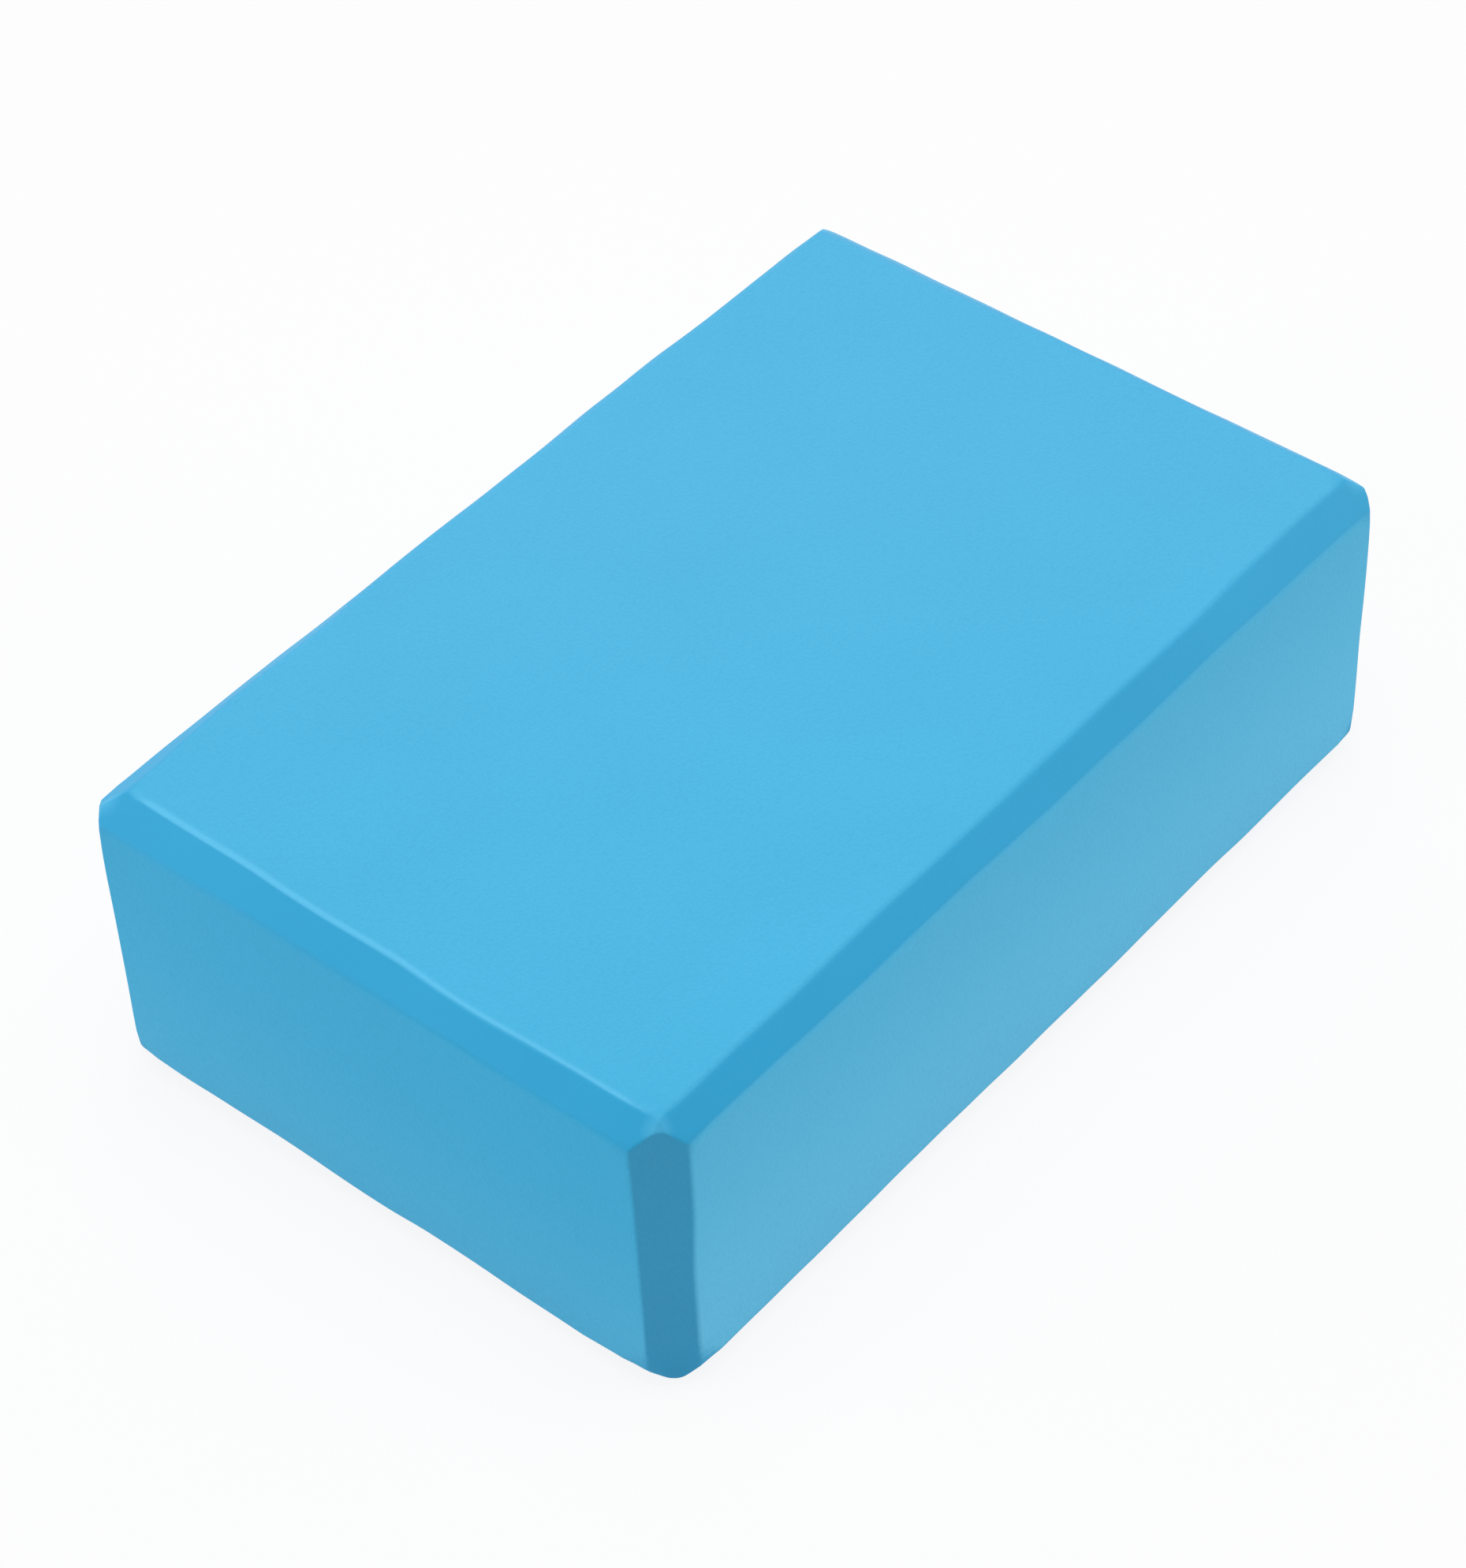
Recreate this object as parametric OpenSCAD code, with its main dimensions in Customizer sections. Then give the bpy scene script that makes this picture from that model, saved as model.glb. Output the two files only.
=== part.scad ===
// Foam yoga block: one rectangular block of foam, bevelled along every edge and eased at every corner.
// It lies flat on its underside, with its length along X and the origin at the middle of the underside.

/* [Block] */
// Length, from one short end to the other
block_length = 230; // [180:1:300]
// Width, from one long side to the other
block_width = 147; // [110:1:200]
// Height of the block lying flat
block_height = 73; // [45:1:125]

/* [Edges] */
// Leg of the bevel along the top and bottom edges of the short ends
end_bevel = 6; // [3:0.5:10]
// Leg of the bevel along the top and bottom edges of the long sides
side_bevel = 5; // [3:0.5:10]
// Leg of the bevel down each upright edge
upright_bevel = 7; // [3:0.5:10]
// Radius of the soft arris where a bevel runs into a face
arris_radius = 2; // [0.5:0.25:3]
// Depth taken off the tip of each corner, square to its diagonal
corner_ease = 0.6; // [0.2:0.1:1.2]

/* [Hidden] */
$fn = 64;
foam_colour = [0.33, 0.73, 0.9];

// Both legs of a bevel are equal, so each arris turns through half a right angle.
bevel_angle = 45;
// How far from the sharp arris its arc begins, along the face and along each axis of the slope
arris_run = arris_radius * tan(bevel_angle / 2);
arris_step = arris_run * cos(bevel_angle);

// The three bevels of a corner meet at a tip this far inside the end, the side and the top.
tip_inset = [
    upright_bevel + end_bevel - side_bevel,
    upright_bevel + side_bevel - end_bevel,
    end_bevel + side_bevel - upright_bevel,
] / 2;
// A corner's flat is well inside a cutter as wide as its three bevels.
cutter_size = end_bevel + side_bevel + upright_bevel;

// A quarter outline mirrored into the quadrant q, with its points kept in order round the profile
function in_quadrant(points, q) = [
    for (i = [0:len(points) - 1])
        let (p = points[q[0] * q[1] > 0 ? i : len(points) - 1 - i])
        [q[0] * p[0], q[1] * p[1]]
];

// A w by h rectangle, centred, with a bevel at each corner and an arc on each arris
module bevelled_profile(w, h, leg) {
    half_w = w / 2;
    half_h = h / 2;
    quadrants = [[1, 1], [-1, 1], [-1, -1], [1, -1]];
    // The ends of the arcs, from the upright face over the bevel to the level one
    arc_ends = [
        [half_w, half_h - leg - arris_run],
        [half_w - arris_step, half_h - leg + arris_step],
        [half_w - leg + arris_step, half_h - arris_step],
        [half_w - leg - arris_run, half_h],
    ];
    arc_centres = [
        [half_w - arris_radius, half_h - leg - arris_run],
        [half_w - leg - arris_run, half_h - arris_radius],
    ];
    polygon([for (q = quadrants) each in_quadrant(arc_ends, q)]);
    for (q = quadrants, c = in_quadrant(arc_centres, q))
        translate(c)
            circle(arris_radius);
}

// The block seen from above, carried up through its height
module plan_prism() {
    linear_extrude(block_height)
        bevelled_profile(block_length, block_width, upright_bevel);
}

// The block seen from a long side, carried across its width
module side_prism() {
    translate([0, block_width / 2, block_height / 2])
        rotate([90, 0, 0])
            linear_extrude(block_width)
                bevelled_profile(block_length, block_height, end_bevel);
}

// The block seen from a short end, carried along its length
module end_prism() {
    translate([-block_length / 2, 0, block_height / 2])
        rotate([90, 0, 90])
            linear_extrude(block_length)
                bevelled_profile(block_width, block_height, side_bevel);
}

// What is taken off one corner, beyond a plane square to its diagonal; s gives the signs of that corner
module corner_cutter(s) {
    half = [block_length, block_width, block_height] / 2;
    tip = [for (i = [0:2]) s[i] * (half[i] - tip_inset[i])];
    translate(tip + [0, 0, half[2]])
        rotate([0, acos(s[2] / norm(s)), atan2(s[1], s[0])])
            translate([-cutter_size / 2, -cutter_size / 2, -corner_ease])
                cube(cutter_size);
}

module block() {
    color(foam_colour)
        difference() {
            intersection() {
                plan_prism();
                side_prism();
                end_prism();
            }
            for (x = [-1, 1], y = [-1, 1], z = [-1, 1])
                corner_cutter([x, y, z]);
        }
}

block();
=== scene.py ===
import math

import bpy
from mathutils import Matrix, Vector


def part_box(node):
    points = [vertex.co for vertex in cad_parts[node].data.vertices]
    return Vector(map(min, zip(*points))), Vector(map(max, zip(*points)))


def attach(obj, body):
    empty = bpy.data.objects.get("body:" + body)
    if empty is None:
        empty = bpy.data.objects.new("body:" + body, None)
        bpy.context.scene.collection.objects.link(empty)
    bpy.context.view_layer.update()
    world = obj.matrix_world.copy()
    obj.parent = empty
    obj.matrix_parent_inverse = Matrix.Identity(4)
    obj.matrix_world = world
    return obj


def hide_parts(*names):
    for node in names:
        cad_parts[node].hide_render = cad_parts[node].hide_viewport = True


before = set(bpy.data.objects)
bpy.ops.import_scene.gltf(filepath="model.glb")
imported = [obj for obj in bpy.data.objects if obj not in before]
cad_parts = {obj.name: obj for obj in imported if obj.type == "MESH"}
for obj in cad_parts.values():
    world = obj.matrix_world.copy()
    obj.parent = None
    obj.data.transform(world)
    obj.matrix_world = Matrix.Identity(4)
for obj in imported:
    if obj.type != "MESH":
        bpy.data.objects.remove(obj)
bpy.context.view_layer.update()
blockLow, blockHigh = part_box("block")
blockMiddle = (blockLow + blockHigh) / 2
blockHalf = (blockHigh - blockLow) / 2
mm = 0.001
print("frame loaded, block", [round(x / mm, 1) for x in blockHalf * 2], "mm")


# a node socket that takes part in sums, and the one way to add any other node
class Wire:
    def __init__(self, tree, socket=None):
        self.tree = tree
        self.socket = socket

    def node(self, kind, settings=None, inputs=None, out=0):
        made = self.tree.nodes.new(kind)
        for name, value in (settings or {}).items():
            setattr(made, name, value)
        for name, value in (inputs or {}).items():
            if isinstance(value, Wire):
                self.tree.links.new(value.socket, made.inputs[name])
            else:
                made.inputs[name].default_value = value
        return Wire(self.tree, made.outputs[out] if made.outputs else None)

    def sum(self, operation, first, second):
        return self.node("ShaderNodeMath", {"operation": operation}, {0: first, 1: second})

    def __add__(self, other):
        return self.sum("ADD", self, other)

    def __radd__(self, other):
        return self.sum("ADD", other, self)

    def __sub__(self, other):
        return self.sum("SUBTRACT", self, other)

    def __rsub__(self, other):
        return self.sum("SUBTRACT", other, self)

    def __mul__(self, other):
        return self.sum("MULTIPLY", self, other)

    def __rmul__(self, other):
        return self.sum("MULTIPLY", other, self)

    def most(self, other):
        return self.sum("MAXIMUM", self, other)

    def rise(self, start, end, top=1.0):
        # from 0 at the start to the top at the end, and level beyond them
        return self.node("ShaderNodeMapRange", None,
                         {"Value": self, "From Min": start, "From Max": end, "To Max": top})

    def mix(self, share, first, second, blend="MIX"):
        # sockets 6 and 7 of a Mix node take its colours, and its output 2 gives one
        return self.node("ShaderNodeMix", {"data_type": "RGBA", "blend_type": blend},
                         {0: share, 6: first, 7: second}, out=2)


def newMaterial(name):
    material = bpy.data.materials.new(name)
    material.use_nodes = True
    material.node_tree.nodes.clear()
    return material, Wire(material.node_tree)


# the foam block: lengths in mm, angles in degrees
blockCut = {
    # legs of the bevels at a true corner, on (level, end), (level, side) and (side, end)
    "legs": ((6.0, 6.0), (5.0, 5.0), (7.0, 7.0)),
    # corners where the cuts run out of true, with the same legs
    "outOfTrue": {
        (-1, -1, 1): ((5.3, 5.8), (4.7, 6.0), (8.1, 8.0)),
        (-1, 1, 1): ((8.2, 4.0), (7.0, 5.3), (6.4, 6.4)),
        (1, -1, 1): ((7.0, 6.5), (5.5, 6.9), (5.0, 7.0)),
        (1, 1, 1): ((6.2, 5.8), (5.0, 6.6), (5.0, 6.0)),
        (-1, -1, -1): ((6.0, 4.7), (5.0, 4.4), (7.4, 6.9)),
        (-1, 1, -1): ((6.0, 6.2), (5.0, 5.0), (6.1, 6.2)),
        (1, -1, -1): ((6.0, 6.0), (5.0, 4.2), (6.0, 7.0)),
    },
    # where a bevel was cut in more than one stroke: its edge, with a 0 for the way it runs,
    # the place along it, and its legs there on the level face and on the wall
    "strokes": (
        ((-1, 0, 1), -16.0, 5.5, 5.2),
        ((-1, 0, 1), -6.0, 6.2, 4.9),
        ((-1, 0, -1), -50.0, 6.0, 3.4),
        ((-1, 0, -1), -16.0, 6.0, 4.7),
        ((-1, 0, -1), -6.0, 6.0, 5.0),
        ((0, 1, 1), -75.0, 5.4, 5.2),
        ((0, 1, 1), -5.0, 4.7, 5.2),
        ((0, 1, 1), 85.0, 4.6, 5.8),
    ),
    "cornerEase": 0.6,       # depth off the tip of each corner, square to its diagonal
    "arrisAngle": 20.0,      # from which two faces meet in an arris
    # how far each soft arris reaches into its faces: the face it lies on, then the way it goes
    "arrisRuns": {"zy": 1.3, "xy": 1.0, "zx": 1.0, "yx": 1.1, "xz": 0.4, "yz": 0.9},
    "mitreRun": 0.6,         # the same for an arris between two bevels
    "touch": 0.05,           # an arris this near a face lies on it
    "arrisSteps": 5,
    # on the top (1) and the underside (-1), how far round its points a corner is rubbed, and how often
    "rubs": {1: (3.0, 8), -1: (4.5, 16)},
    "rub": 0.5,              # how much one rub evens out
    "slicePitch": 2.5,       # grid of the faces
    "margin": 11.0,          # rim that the grid leaves alone
    # the cuts waver off their line: length of a wave along X, Y and Z, its reach, and where it fades
    "waves": (31.0, 37.0, 26.0),
    "waver": 1.6,
    "waverFade": 2.0,
    "waverLevel": 0.5,       # level of the clouds that moves nothing, here as much each way
    "dishLength": 45.0,      # slow hollows of the faces
    "dish": 0.2,
    "dishLevel": 0.8,        # the same level, here mostly inwards
    "cloudDepth": 1,
    "smoothAngle": 30.0,     # up to which faces shade as one
}
allCorners = [(x, y, z) for x in (-1, 1) for y in (-1, 1) for z in (-1, 1)]


def clamp(amount):
    return min(max(amount, 0), 1)


def insetsUnder(point):
    # how deep a point lies under the end, the side and the level face on its part of the block
    return [half - abs(place) for half, place in zip(blockHalf, point - blockMiddle)]


def cornerPoint(signs, insets):
    return blockMiddle + Vector([s * (h - i * mm) for s, h, i in zip(signs, blockHalf, insets)])


def cornerLegs(signs):
    return blockCut["outOfTrue"].get(signs, blockCut["legs"])


def cornerInsets(legs):
    # a corner's points on the level face, the end and the side, and its tip where three bevels meet
    (endIn, endDown), (sideIn, sideDown), (uprightSide, uprightEnd) = legs
    spare = endIn / uprightSide + sideIn / uprightEnd - 1
    down = spare / (endIn / endDown / uprightSide + sideIn / sideDown / uprightEnd)
    tip = (endIn * (1 - down / endDown), sideIn * (1 - down / sideDown), down)
    return (endIn, sideIn, 0), (0, uprightEnd, endDown), (uprightSide, 0, sideDown), tip


def wayAlong(axis):
    return Vector([float(i == axis) for i in range(3)])


def saw(place, normal, dropOuter=False):
    bpy.ops.mesh.select_all(action="SELECT")
    bpy.ops.mesh.bisect(plane_co=place, plane_no=normal, use_fill=dropOuter, clear_outer=dropOuter)


def cutBevel(signs, leg):
    # takes the same leg off both faces of an edge, all along it
    run = signs.index(0)
    first, second = [wayAlong(axis) * leg for axis in range(3) if axis != run]
    near, far = [[sign or end for sign in signs] for end in (-1, 1)]
    start = cornerPoint(near, first)
    normal = (cornerPoint(far, first) - start).cross(cornerPoint(far, second) - start).normalized()
    if normal.dot(start - blockMiddle) < 0:
        normal = -normal
    saw(start, normal, dropOuter=True)


def nudge(block, start, goal):
    bpy.ops.mesh.select_all(action="DESELECT")
    bpy.ops.object.mode_set(mode="OBJECT")
    nearest = min(block.data.vertices, key=lambda v: (v.co - start).length)
    nearest.select = True
    bpy.ops.object.mode_set(mode="EDIT")
    bpy.ops.transform.translate(value=goal - nearest.co)


def cutStroke(block, signs, place, level, wall):
    # a cross cut at this place, with the bevel's two arrises there moved to their legs
    run = signs.index(0)
    way = wayAlong(run)
    spot = way * place * mm
    saw(blockMiddle + spot, way)
    usual, _ = blockCut["legs"][1 - run]  # an end's edge runs along Y, a side's along X
    for start, goal in (((usual, usual, 0), (level, level, 0)), ((0, 0, usual), (0, 0, wall))):
        nudge(block, cornerPoint(signs, start) + spot, cornerPoint(signs, goal) + spot)


def makeBlock():
    bpy.ops.object.select_all(action="DESELECT")
    bpy.ops.mesh.primitive_cube_add(size=2, location=blockMiddle)
    block = bpy.context.object
    block.name = "foamBlock"
    block.scale = blockHalf
    bpy.ops.object.transform_apply(location=True, rotation=True, scale=True)
    bpy.ops.object.mode_set(mode="EDIT")
    bpy.ops.mesh.select_mode(type="VERT")
    (end, _), (side, _), (upright, _) = blockCut["legs"]
    for x in (-1, 1):
        for y in (-1, 1):
            cutBevel((x, y, 0), upright)
    for z in (-1, 1):
        for x in (-1, 1):
            cutBevel((x, 0, z), end)
        for y in (-1, 1):
            cutBevel((0, y, z), side)
    for signs, legs in blockCut["outOfTrue"].items():
        for start, goal in zip(cornerInsets(blockCut["legs"]), cornerInsets(legs)):
            nudge(block, cornerPoint(signs, start), cornerPoint(signs, goal))
    for stroke in blockCut["strokes"]:
        cutStroke(block, *stroke)
    for signs in allCorners:
        *_, tip = cornerInsets(cornerLegs(signs))
        diagonal = Vector(signs).normalized()
        eased = cornerPoint(signs, tip) - diagonal * blockCut["cornerEase"] * mm
        saw(eased, diagonal, dropOuter=True)
    bpy.ops.object.mode_set(mode="OBJECT")
    print("block cut:", len(block.data.polygons), "faces")
    return block


def softenArrises(block):
    bpy.ops.object.mode_set(mode="EDIT")
    bpy.ops.mesh.select_mode(type="EDGE")
    bpy.ops.mesh.select_all(action="DESELECT")
    bpy.ops.mesh.edges_select_sharp(sharpness=math.radians(blockCut["arrisAngle"]))
    bpy.ops.object.mode_set(mode="OBJECT")
    mesh, runs = block.data, blockCut["arrisRuns"]
    widest = max(runs.values())
    weights = mesh.attributes.new("bevel_weight_edge", "FLOAT", "EDGE")
    for edge in mesh.edges:
        if edge.select:
            first, second = [mesh.vertices[i].co for i in edge.vertices]
            _, way = max(zip([abs(x) for x in second - first], "xyz"))
            inset, face = min(zip(insetsUnder((first + second) / 2), "xyz"))
            run = runs[face + way] if inset < blockCut["touch"] * mm else blockCut["mitreRun"]
            weights.data[edge.index].value = run / widest
    bevel = block.modifiers.new("softArrises", "BEVEL")
    bevel.limit_method = "WEIGHT"
    bevel.width = widest * mm
    bevel.segments = blockCut["arrisSteps"]
    bevel.use_clamp_overlap = False
    bpy.ops.object.modifier_apply(modifier=bevel.name)
    print("arrises softened:", len(mesh.polygons), "faces")


def gridCut(block):
    bpy.ops.object.mode_set(mode="EDIT")
    for axis in range(3):
        reach = blockHalf[axis] - blockCut["margin"] * mm
        count = round(2 * reach / (blockCut["slicePitch"] * mm))
        way = wayAlong(axis)
        for i in range(count + 1):
            saw(blockMiddle + way * (2 * reach * i / count - reach), way)
    bpy.ops.mesh.select_all(action="DESELECT")
    bpy.ops.object.mode_set(mode="OBJECT")
    print("block sliced:", len(block.data.polygons), "faces")


def rubCorners(block):
    bpy.ops.object.mode_set(mode="EDIT")
    bpy.ops.mesh.select_mode(type="VERT")
    for level, (reach, times) in blockCut["rubs"].items():
        bpy.ops.mesh.select_all(action="DESELECT")
        bpy.ops.object.mode_set(mode="OBJECT")
        for signs in [corner for corner in allCorners if corner[2] == level]:
            places = [cornerPoint(signs, insets) for insets in cornerInsets(cornerLegs(signs))]
            for vertex in block.data.vertices:
                if min((vertex.co - place).length for place in places) < reach * mm:
                    vertex.select = True
        bpy.ops.object.mode_set(mode="EDIT")
        bpy.ops.mesh.vertices_smooth(factor=blockCut["rub"], repeat=times)
    bpy.ops.mesh.select_all(action="DESELECT")
    bpy.ops.object.mode_set(mode="OBJECT")
    print("corners rubbed")


def displace(block, name, direction, wave, depth, level, group=""):
    texture = bpy.data.textures.new(name, "CLOUDS")
    texture.noise_scale = wave * mm
    texture.noise_depth = blockCut["cloudDepth"]
    modifier = block.modifiers.new(name, "DISPLACE")
    modifier.texture = texture
    modifier.texture_coords = "LOCAL"
    modifier.direction = direction
    modifier.strength = depth * mm
    modifier.mid_level = level
    modifier.vertex_group = group
    bpy.ops.object.modifier_apply(modifier=name)


def waverCuts(block):
    # each arris slides along its face, most at the rim and not at all past the margin
    cut = blockCut
    (leg, _), margin, fade = cut["legs"][1], cut["margin"], cut["waverFade"]
    for axis, name in enumerate("XYZ"):
        group = block.vertex_groups.new(name="rim" + name)
        for vertex in block.data.vertices:
            inset = insetsUnder(vertex.co)[axis] / mm
            amount = clamp(min(inset / leg, (margin - inset) / fade))
            group.add([vertex.index], amount, "REPLACE")
        wave = cut["waves"][axis]
        displace(block, "waver" + name, name, wave, cut["waver"], cut["waverLevel"], group.name)
    block.vertex_groups.clear()
    displace(block, "dish", "NORMAL", cut["dishLength"], cut["dish"], cut["dishLevel"])
    print("cuts wavered")


# how each face was cut and how much wear and painted highlight each point gets, kept on the mesh for the
# foam: lengths in mm
zoneRules = {
    "depth": 0.4,            # under its face at which an arris has become bevel
    "eased": 0.3,            # part of a normal along Z at which an upright bevel ends
    # wear and painted highlight of an arris, by its face and the way it goes, on the low and the high
    # side of the block
    "arrisWearAndHighlight": {"zy": (1.3, 0.0), "zx": (0.15, 0.0), "yx": (0.0, 0.4)},
    "wearAndHighlightFrom": 6.0,         # from a corner to where the wear and painted highlight begin, and on to where they are full
    "wearAndHighlightRise": 8.0,
}


def cutAt(point, normal):
    # the face that a place is nearest to, the way its arris goes, and how far it has turned into bevel
    insets = dict(zip("xyz", insetsUnder(point)))
    near = min(insets, key=insets.get)
    least, way = min(zip([abs(x) for x in normal], "xyz"))
    turned = clamp(insets[near] / mm / zoneRules["depth"])
    return insets, near, least, way, turned


# wear and painted highlight along the arrises
def wearAndHighlightAt(vertex):
    insets, near, _, way, turned = cutAt(vertex.co, vertex.normal)
    other = next(i for i in range(3) if "xyz"[i] not in near + way)
    low, high = zoneRules["arrisWearAndHighlight"].get(near + way, (0, 0))
    arrisWearAndHighlight = high if vertex.co[other] > blockMiddle[other] else low
    rise = clamp((insets[way] / mm - zoneRules["wearAndHighlightFrom"]) / zoneRules["wearAndHighlightRise"])
    crest = 4 * turned * (1 - turned)  # 1 half way through the turn and 0 at both its ends
    return arrisWearAndHighlight * rise * crest


def markZones(block):
    mesh = block.data
    zones = {"ends": [], "sides": [], "trimmed": [], "upright": []}
    for face in mesh.polygons:
        _, near, least, way, turned = cutAt(face.center, face.normal)
        isUpright = way == "z" and least < zoneRules["eased"]
        zones["ends"].append(float(near == "x"))
        zones["sides"].append(float(near == "y"))
        zones["trimmed"].append(0.0 if isUpright else turned)
        zones["upright"].append(turned if isUpright else 0.0)
    for name, amounts in zones.items():
        mesh.attributes.new(name, "FLOAT", "FACE").data.foreach_set("value", amounts)
    wearAndHighlight = [wearAndHighlightAt(vertex) for vertex in mesh.vertices]
    mesh.attributes.new("wearAndHighlight", "FLOAT", "POINT").data.foreach_set("value", wearAndHighlight)
    print("zones marked")


# the foam: sky blue closed-cell foam, matt, paler on the sawn sides, partly their finish and partly
# painted haze, and deeper on the trimmed bevels, partly their finish and partly painted shade
foamFinish = {
    # each colour as cut and as painted paler, lengths in mm: the skin and the bevels towards the back,
    # painted light from there, and the ends and the sides towards the floor, painted bounce light from it
    "skin": ((0.065, 0.466, 0.758, 1), (0.082, 0.472, 0.764, 1)),
    "ends": ((0.054, 0.461, 0.766, 1), (0.099, 0.512, 0.795, 1)),
    # the sides: paler, partly painted haze
    "sides": ((0.101, 0.535, 0.826, 1), (0.160, 0.622, 0.908, 1)),
    # the bevels: deeper, partly painted shade
    "trimmed": ((0.033, 0.386, 0.682, 1), (0.053, 0.415, 0.715, 1)),
    # the upright bevels: deeper, partly painted shade
    "upright": (0.051, 0.387, 0.669, 1),
    # colour of the wear and of the painted highlights on the arrises and the upper tips
    "wearAndHighlight": (0.115, 0.558, 0.872, 1),
    "tipInset": (4.1, 3.9, 1.0),  # to the tips of the upper corners, which hands rub pale; a painted highlight is put there too
    "tipReach": 4.0,
    "tipWearAndHighlight": 0.7,
    "paintedLightFrom": -170.0,      # X + Y between which the skin and the bevels are painted paler towards the back, painted light from there
    "paintedLightTo": 60.0,
    "paintedLightOnEnds": 0.2,         # share of that painted light on the ends
    "lowFrom": 66.0,         # heights between which the sawn faces are painted paler towards the floor, painted bounce light from it
    "lowTo": 0.0,
    "drift": 20.0,           # how far the mottle shifts all these places
    "specular": 0.12,
    "roughness": 0.6,
    "roughnessSpread": 0.1,
    "mottleLength": 38.0,
    "mottleDetail": 2.0,
    "mottle": 0.06,
    "cellSize": 0.7,
    "cellShade": 0.05,
    "cellDepth": 0.06,
    "trimmedCells": 0.4,     # share of the cells' depth that is left where a knife went
    "middle": 0.5,           # level about which the mottle and the cells vary
}


def foamMaterial():
    material, wire = newMaterial("skyBlueFoam")
    finish, middle = foamFinish, foamFinish["middle"]
    place = wire.node("ShaderNodeTexCoord", out="Object")
    ends, sides, trimmed, upright, wearAndHighlight = [
        wire.node("ShaderNodeAttribute", {"attribute_name": name}, out="Fac")
        for name in ("ends", "sides", "trimmed", "upright", "wearAndHighlight")]
    along, across, height = [
        wire.node("ShaderNodeSeparateXYZ", None, {"Vector": place}, out=axis) for axis in "XYZ"]
    cloud = wire.node("ShaderNodeTexNoise", None,
                      {"Vector": place, "Scale": 1 / (finish["mottleLength"] * mm),
                       "Detail": finish["mottleDetail"]})
    cells = wire.node("ShaderNodeTexVoronoi", None,
                      {"Vector": place, "Scale": 1 / (finish["cellSize"] * mm)}, out="Distance")
    mottle = cloud - middle
    drift = mottle * (finish["drift"] * mm)
    # painted light: paler towards the back, where the back lamp stands
    paintedBackLight = (along + across + drift).rise(finish["paintedLightFrom"] * mm, finish["paintedLightTo"] * mm)
    # painted bounce light: the sawn faces paler towards the floor
    low = (height + drift).rise(finish["lowFrom"] * mm, finish["lowTo"] * mm)
    # all four upper corners at once, as the distance from the tip in one quarter
    quarter = wire.node("ShaderNodeVectorMath", {"operation": "ABSOLUTE"}, {0: place})
    tip = blockHigh - Vector(finish["tipInset"]) * mm
    away = wire.node("ShaderNodeVectorMath", {"operation": "DISTANCE"}, {0: quarter, 1: tip}, out="Value")
    # painted highlight, with some wear, on the upper tips
    tipsRubbedAndLit = away.rise(finish["tipReach"] * mm, 0.0, finish["tipWearAndHighlight"])
    colour = wire.mix(paintedBackLight, *finish["skin"])
    # the ends: mostly the painted bounce light and a little of the painted back light
    endsPaintedLight = low * low + paintedBackLight * finish["paintedLightOnEnds"]
    colour = wire.mix(ends, colour, wire.mix(endsPaintedLight, *finish["ends"]))
    colour = wire.mix(sides, colour, wire.mix(low, *finish["sides"]))
    colour = wire.mix(trimmed, colour, wire.mix(paintedBackLight, *finish["trimmed"]))
    colour = wire.mix(upright, colour, finish["upright"])
    # painted highlight, with some wear, on the arrises and the upper tips
    colour = wire.mix(wearAndHighlight.most(tipsRubbedAndLit * (1 - upright)), colour, finish["wearAndHighlight"])
    pits = (middle - cells) * (1 - trimmed)
    shade = 1 + mottle * finish["mottle"] + pits * finish["cellShade"]
    colour = wire.mix(1.0, colour, shade, "MULTIPLY")
    roughness = finish["roughness"] + (sides - trimmed + cells - middle) * finish["roughnessSpread"]
    bump = wire.node("ShaderNodeBump", None,
                     {"Strength": 1.0, "Distance": finish["cellDepth"] * mm,
                      "Height": (1 - cells) * (1 - (1 - finish["trimmedCells"]) * trimmed)})
    shader = wire.node("ShaderNodeBsdfPrincipled", None,
                       {"Base Color": colour, "Roughness": roughness, "Normal": bump,
                        "Specular IOR Level": finish["specular"]})
    wire.node("ShaderNodeOutputMaterial", None, {"Surface": shader})
    return material


def smoothShade(block):
    # the soft arrises shade round and the faces beside them stay flat
    bpy.ops.object.shade_smooth_by_angle(angle=math.radians(blockCut["smoothAngle"]))
    flat = block.modifiers.new("flatFaces", "WEIGHTED_NORMAL")
    flat.keep_sharp = True
    bpy.ops.object.modifier_apply(modifier=flat.name)
    print("block shaded")


block = makeBlock()
softenArrises(block)
gridCut(block)
rubCorners(block)
markZones(block)
waverCuts(block)
smoothShade(block)
block.data.materials.append(foamMaterial())
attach(block, "root")
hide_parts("block")

# the studio: a white floor, white surroundings and large soft lamps
studio = {
    "floorSize": 10.0,       # metres
    "floorWhite": 0.9,
    "floorGlow": 0.88,       # share of the floor's white that the block's shadow doesn't touch
    "ambient": 0.385,
    # azimuth and elevation in degrees, distance, width and height in metres, watts
    "lamps": {
        "overhead": (0, 88, 1.2, 0.9, 0.9, 7.7),
        "leftBox": (-135, 15, 3.0, 2.2, 1.2, 25.2),
        "rightBox": (45, 15, 3.0, 2.2, 1.2, 18.3),
        "backBox": (135, 15, 3.0, 2.2, 1.2, 16.9),
    },
}


def seenDirectly(wire):
    seen = wire.node("ShaderNodeLightPath", out="Is Camera Ray")
    for kind in ("Is Glossy Ray", "Is Transmission Ray"):
        seen = seen.most(wire.node("ShaderNodeLightPath", out=kind))
    return seen


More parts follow.
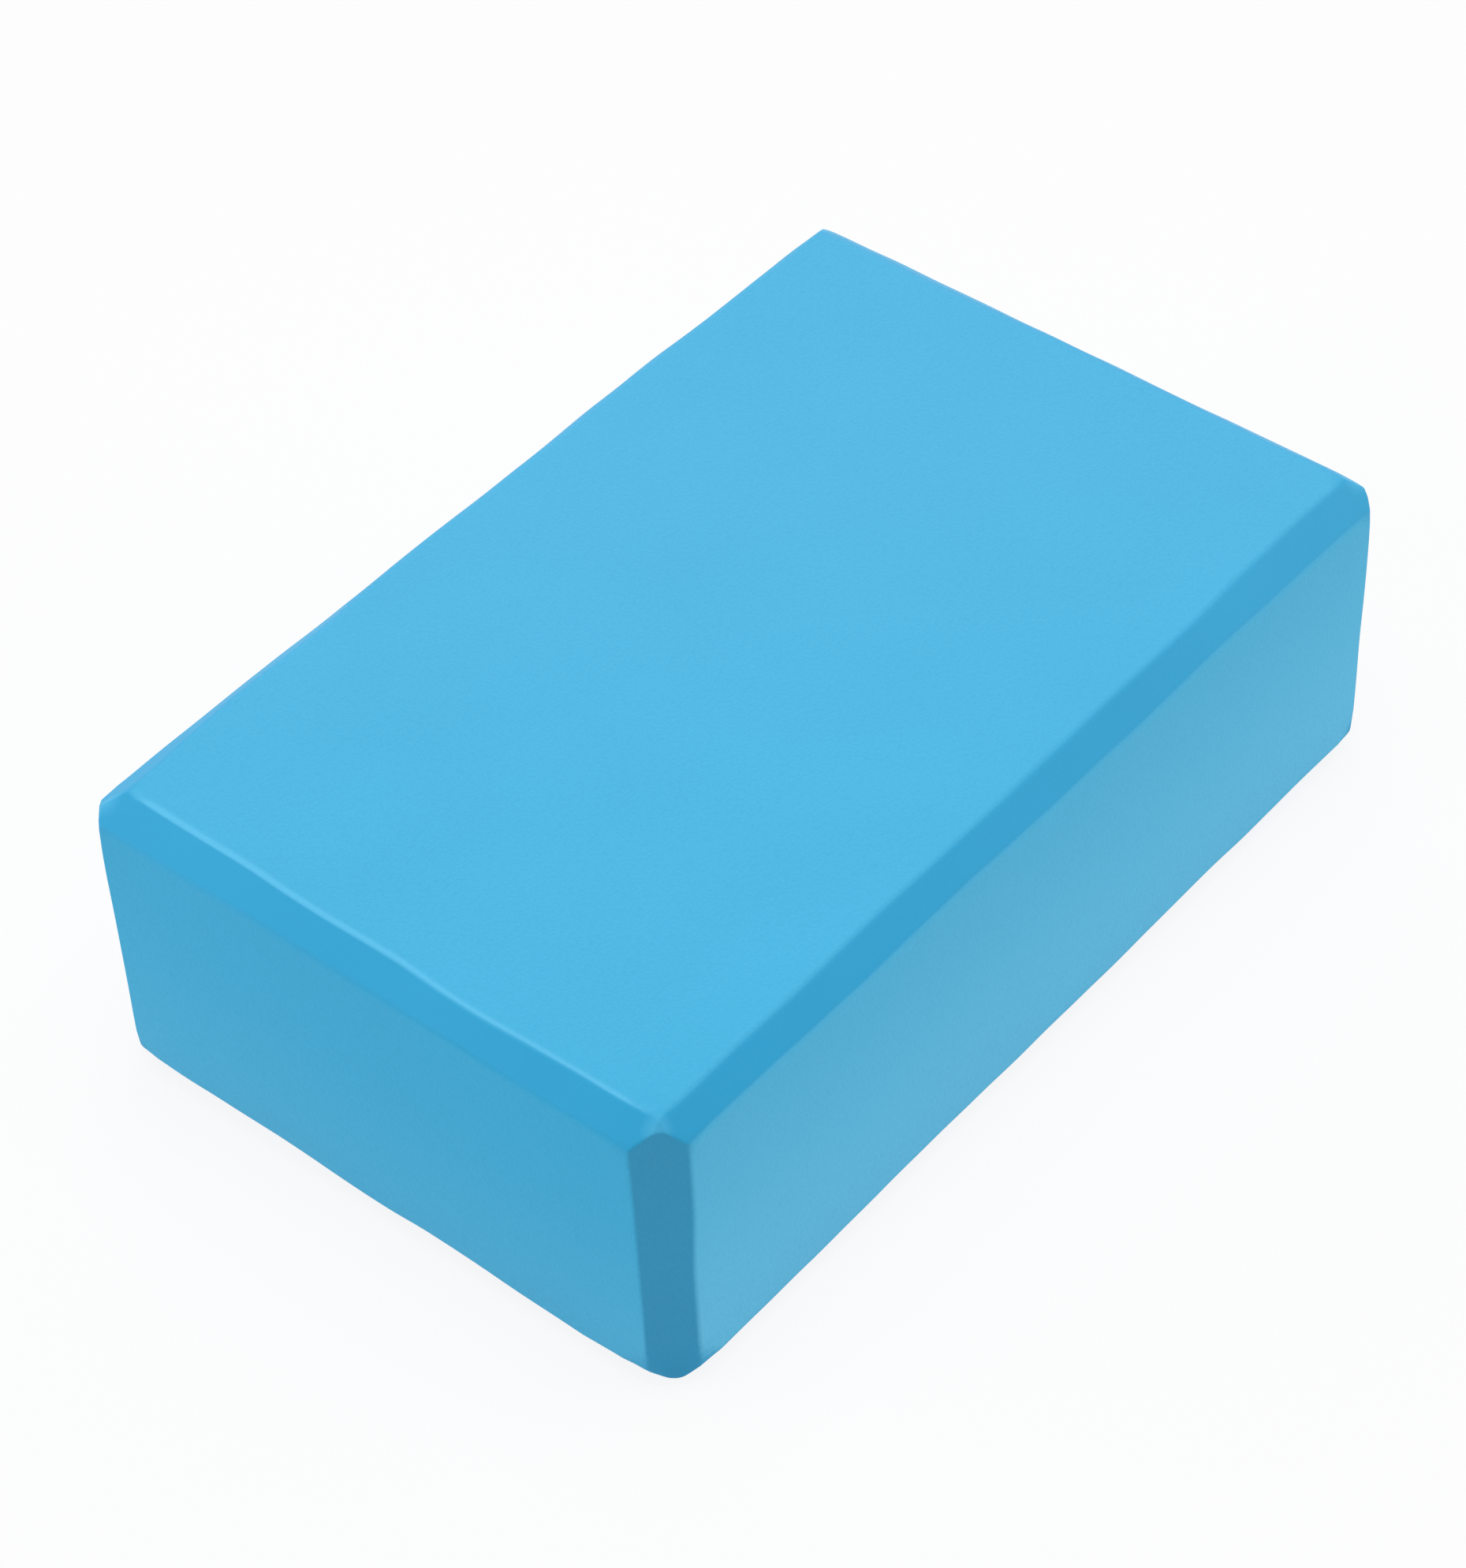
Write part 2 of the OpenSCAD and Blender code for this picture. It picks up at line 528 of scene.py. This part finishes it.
def makeFloor():
    bpy.ops.object.select_all(action="DESELECT")
    bpy.ops.mesh.primitive_plane_add(size=studio["floorSize"])
    floor = bpy.context.object
    floor.name = "studioFloor"
    material, wire = newMaterial("whiteFloor")
    white = studio["floorWhite"]
    matt = wire.node("ShaderNodeBsdfDiffuse", None, {"Color": (white, white, white, 1)})
    glow = wire.node("ShaderNodeEmission", None, {"Color": (1, 1, 1, 1), "Strength": 1.0})
    share = seenDirectly(wire) * studio["floorGlow"]
    mixed = wire.node("ShaderNodeMixShader", None, {0: share, 1: matt, 2: glow})
    wire.node("ShaderNodeOutputMaterial", None, {"Surface": mixed})
    floor.data.materials.append(material)


def around(azimuth, elevation):
    a, e = math.radians(azimuth), math.radians(elevation)
    return Vector((math.sin(a) * math.cos(e), -math.cos(a) * math.cos(e), math.sin(e)))


def makeLamps():
    for name, (azimuth, elevation, distance, width, height, watts) in studio["lamps"].items():
        lamp = bpy.data.lights.new(name, "AREA")
        lamp.shape = "RECTANGLE"
        lamp.size = width
        lamp.size_y = height
        lamp.energy = watts
        placed = bpy.data.objects.new(name, lamp)
        placed.visible_camera = False
        bpy.context.scene.collection.objects.link(placed)
        towards = around(azimuth, elevation)
        placed.location = blockMiddle + towards * distance
        placed.rotation_euler = towards.to_track_quat("Z", "Y").to_euler()


def makeWorld():
    world = bpy.data.worlds.new("whiteRoom")
    bpy.context.scene.world = world
    world.use_nodes = True
    world.node_tree.nodes.clear()
    wire = Wire(world.node_tree)
    seen = seenDirectly(wire)
    level = seen + (1 - seen) * studio["ambient"]
    back = wire.node("ShaderNodeBackground", None, {"Color": (1, 1, 1, 1), "Strength": level})
    wire.node("ShaderNodeOutputWorld", None, {"Surface": back})


makeFloor()
makeLamps()
makeWorld()
print("studio lit")

# the camera: its place round the block in degrees, lens and sensor in mm, the rest in metres
view = {
    "azimuth": -48.428,
    "elevation": 44.401,
    "roll": -3.067,
    "lens": 108.07,
    "sensor": 36.0,
    "distance": 0.95281,
    "right": -0.004475,      # how far it stands off the line to the block's middle
    "up": -0.004386,
    "nearest": 0.01,         # where its view begins
}


def makeCamera():
    camera = bpy.data.cameras.new("photoView")
    camera.lens = view["lens"]
    camera.sensor_width = view["sensor"]
    camera.clip_start = view["nearest"]
    placed = bpy.data.objects.new("photoView", camera)
    bpy.context.scene.collection.objects.link(placed)
    back = around(view["azimuth"], view["elevation"])
    level = Vector((0, 0, 1)).cross(back).normalized()
    lift = back.cross(level)
    roll = math.radians(view["roll"])
    right = level * math.cos(roll) + lift * math.sin(roll)
    up = lift * math.cos(roll) - level * math.sin(roll)
    spot = blockMiddle + back * view["distance"] + right * view["right"] + up * view["up"]
    placed.matrix_world = Matrix((right, up, back)).transposed().to_4x4()
    placed.location = spot
    bpy.context.scene.camera = placed


makeCamera()
bpy.context.scene.view_settings.view_transform = "Standard"
print("camera placed")
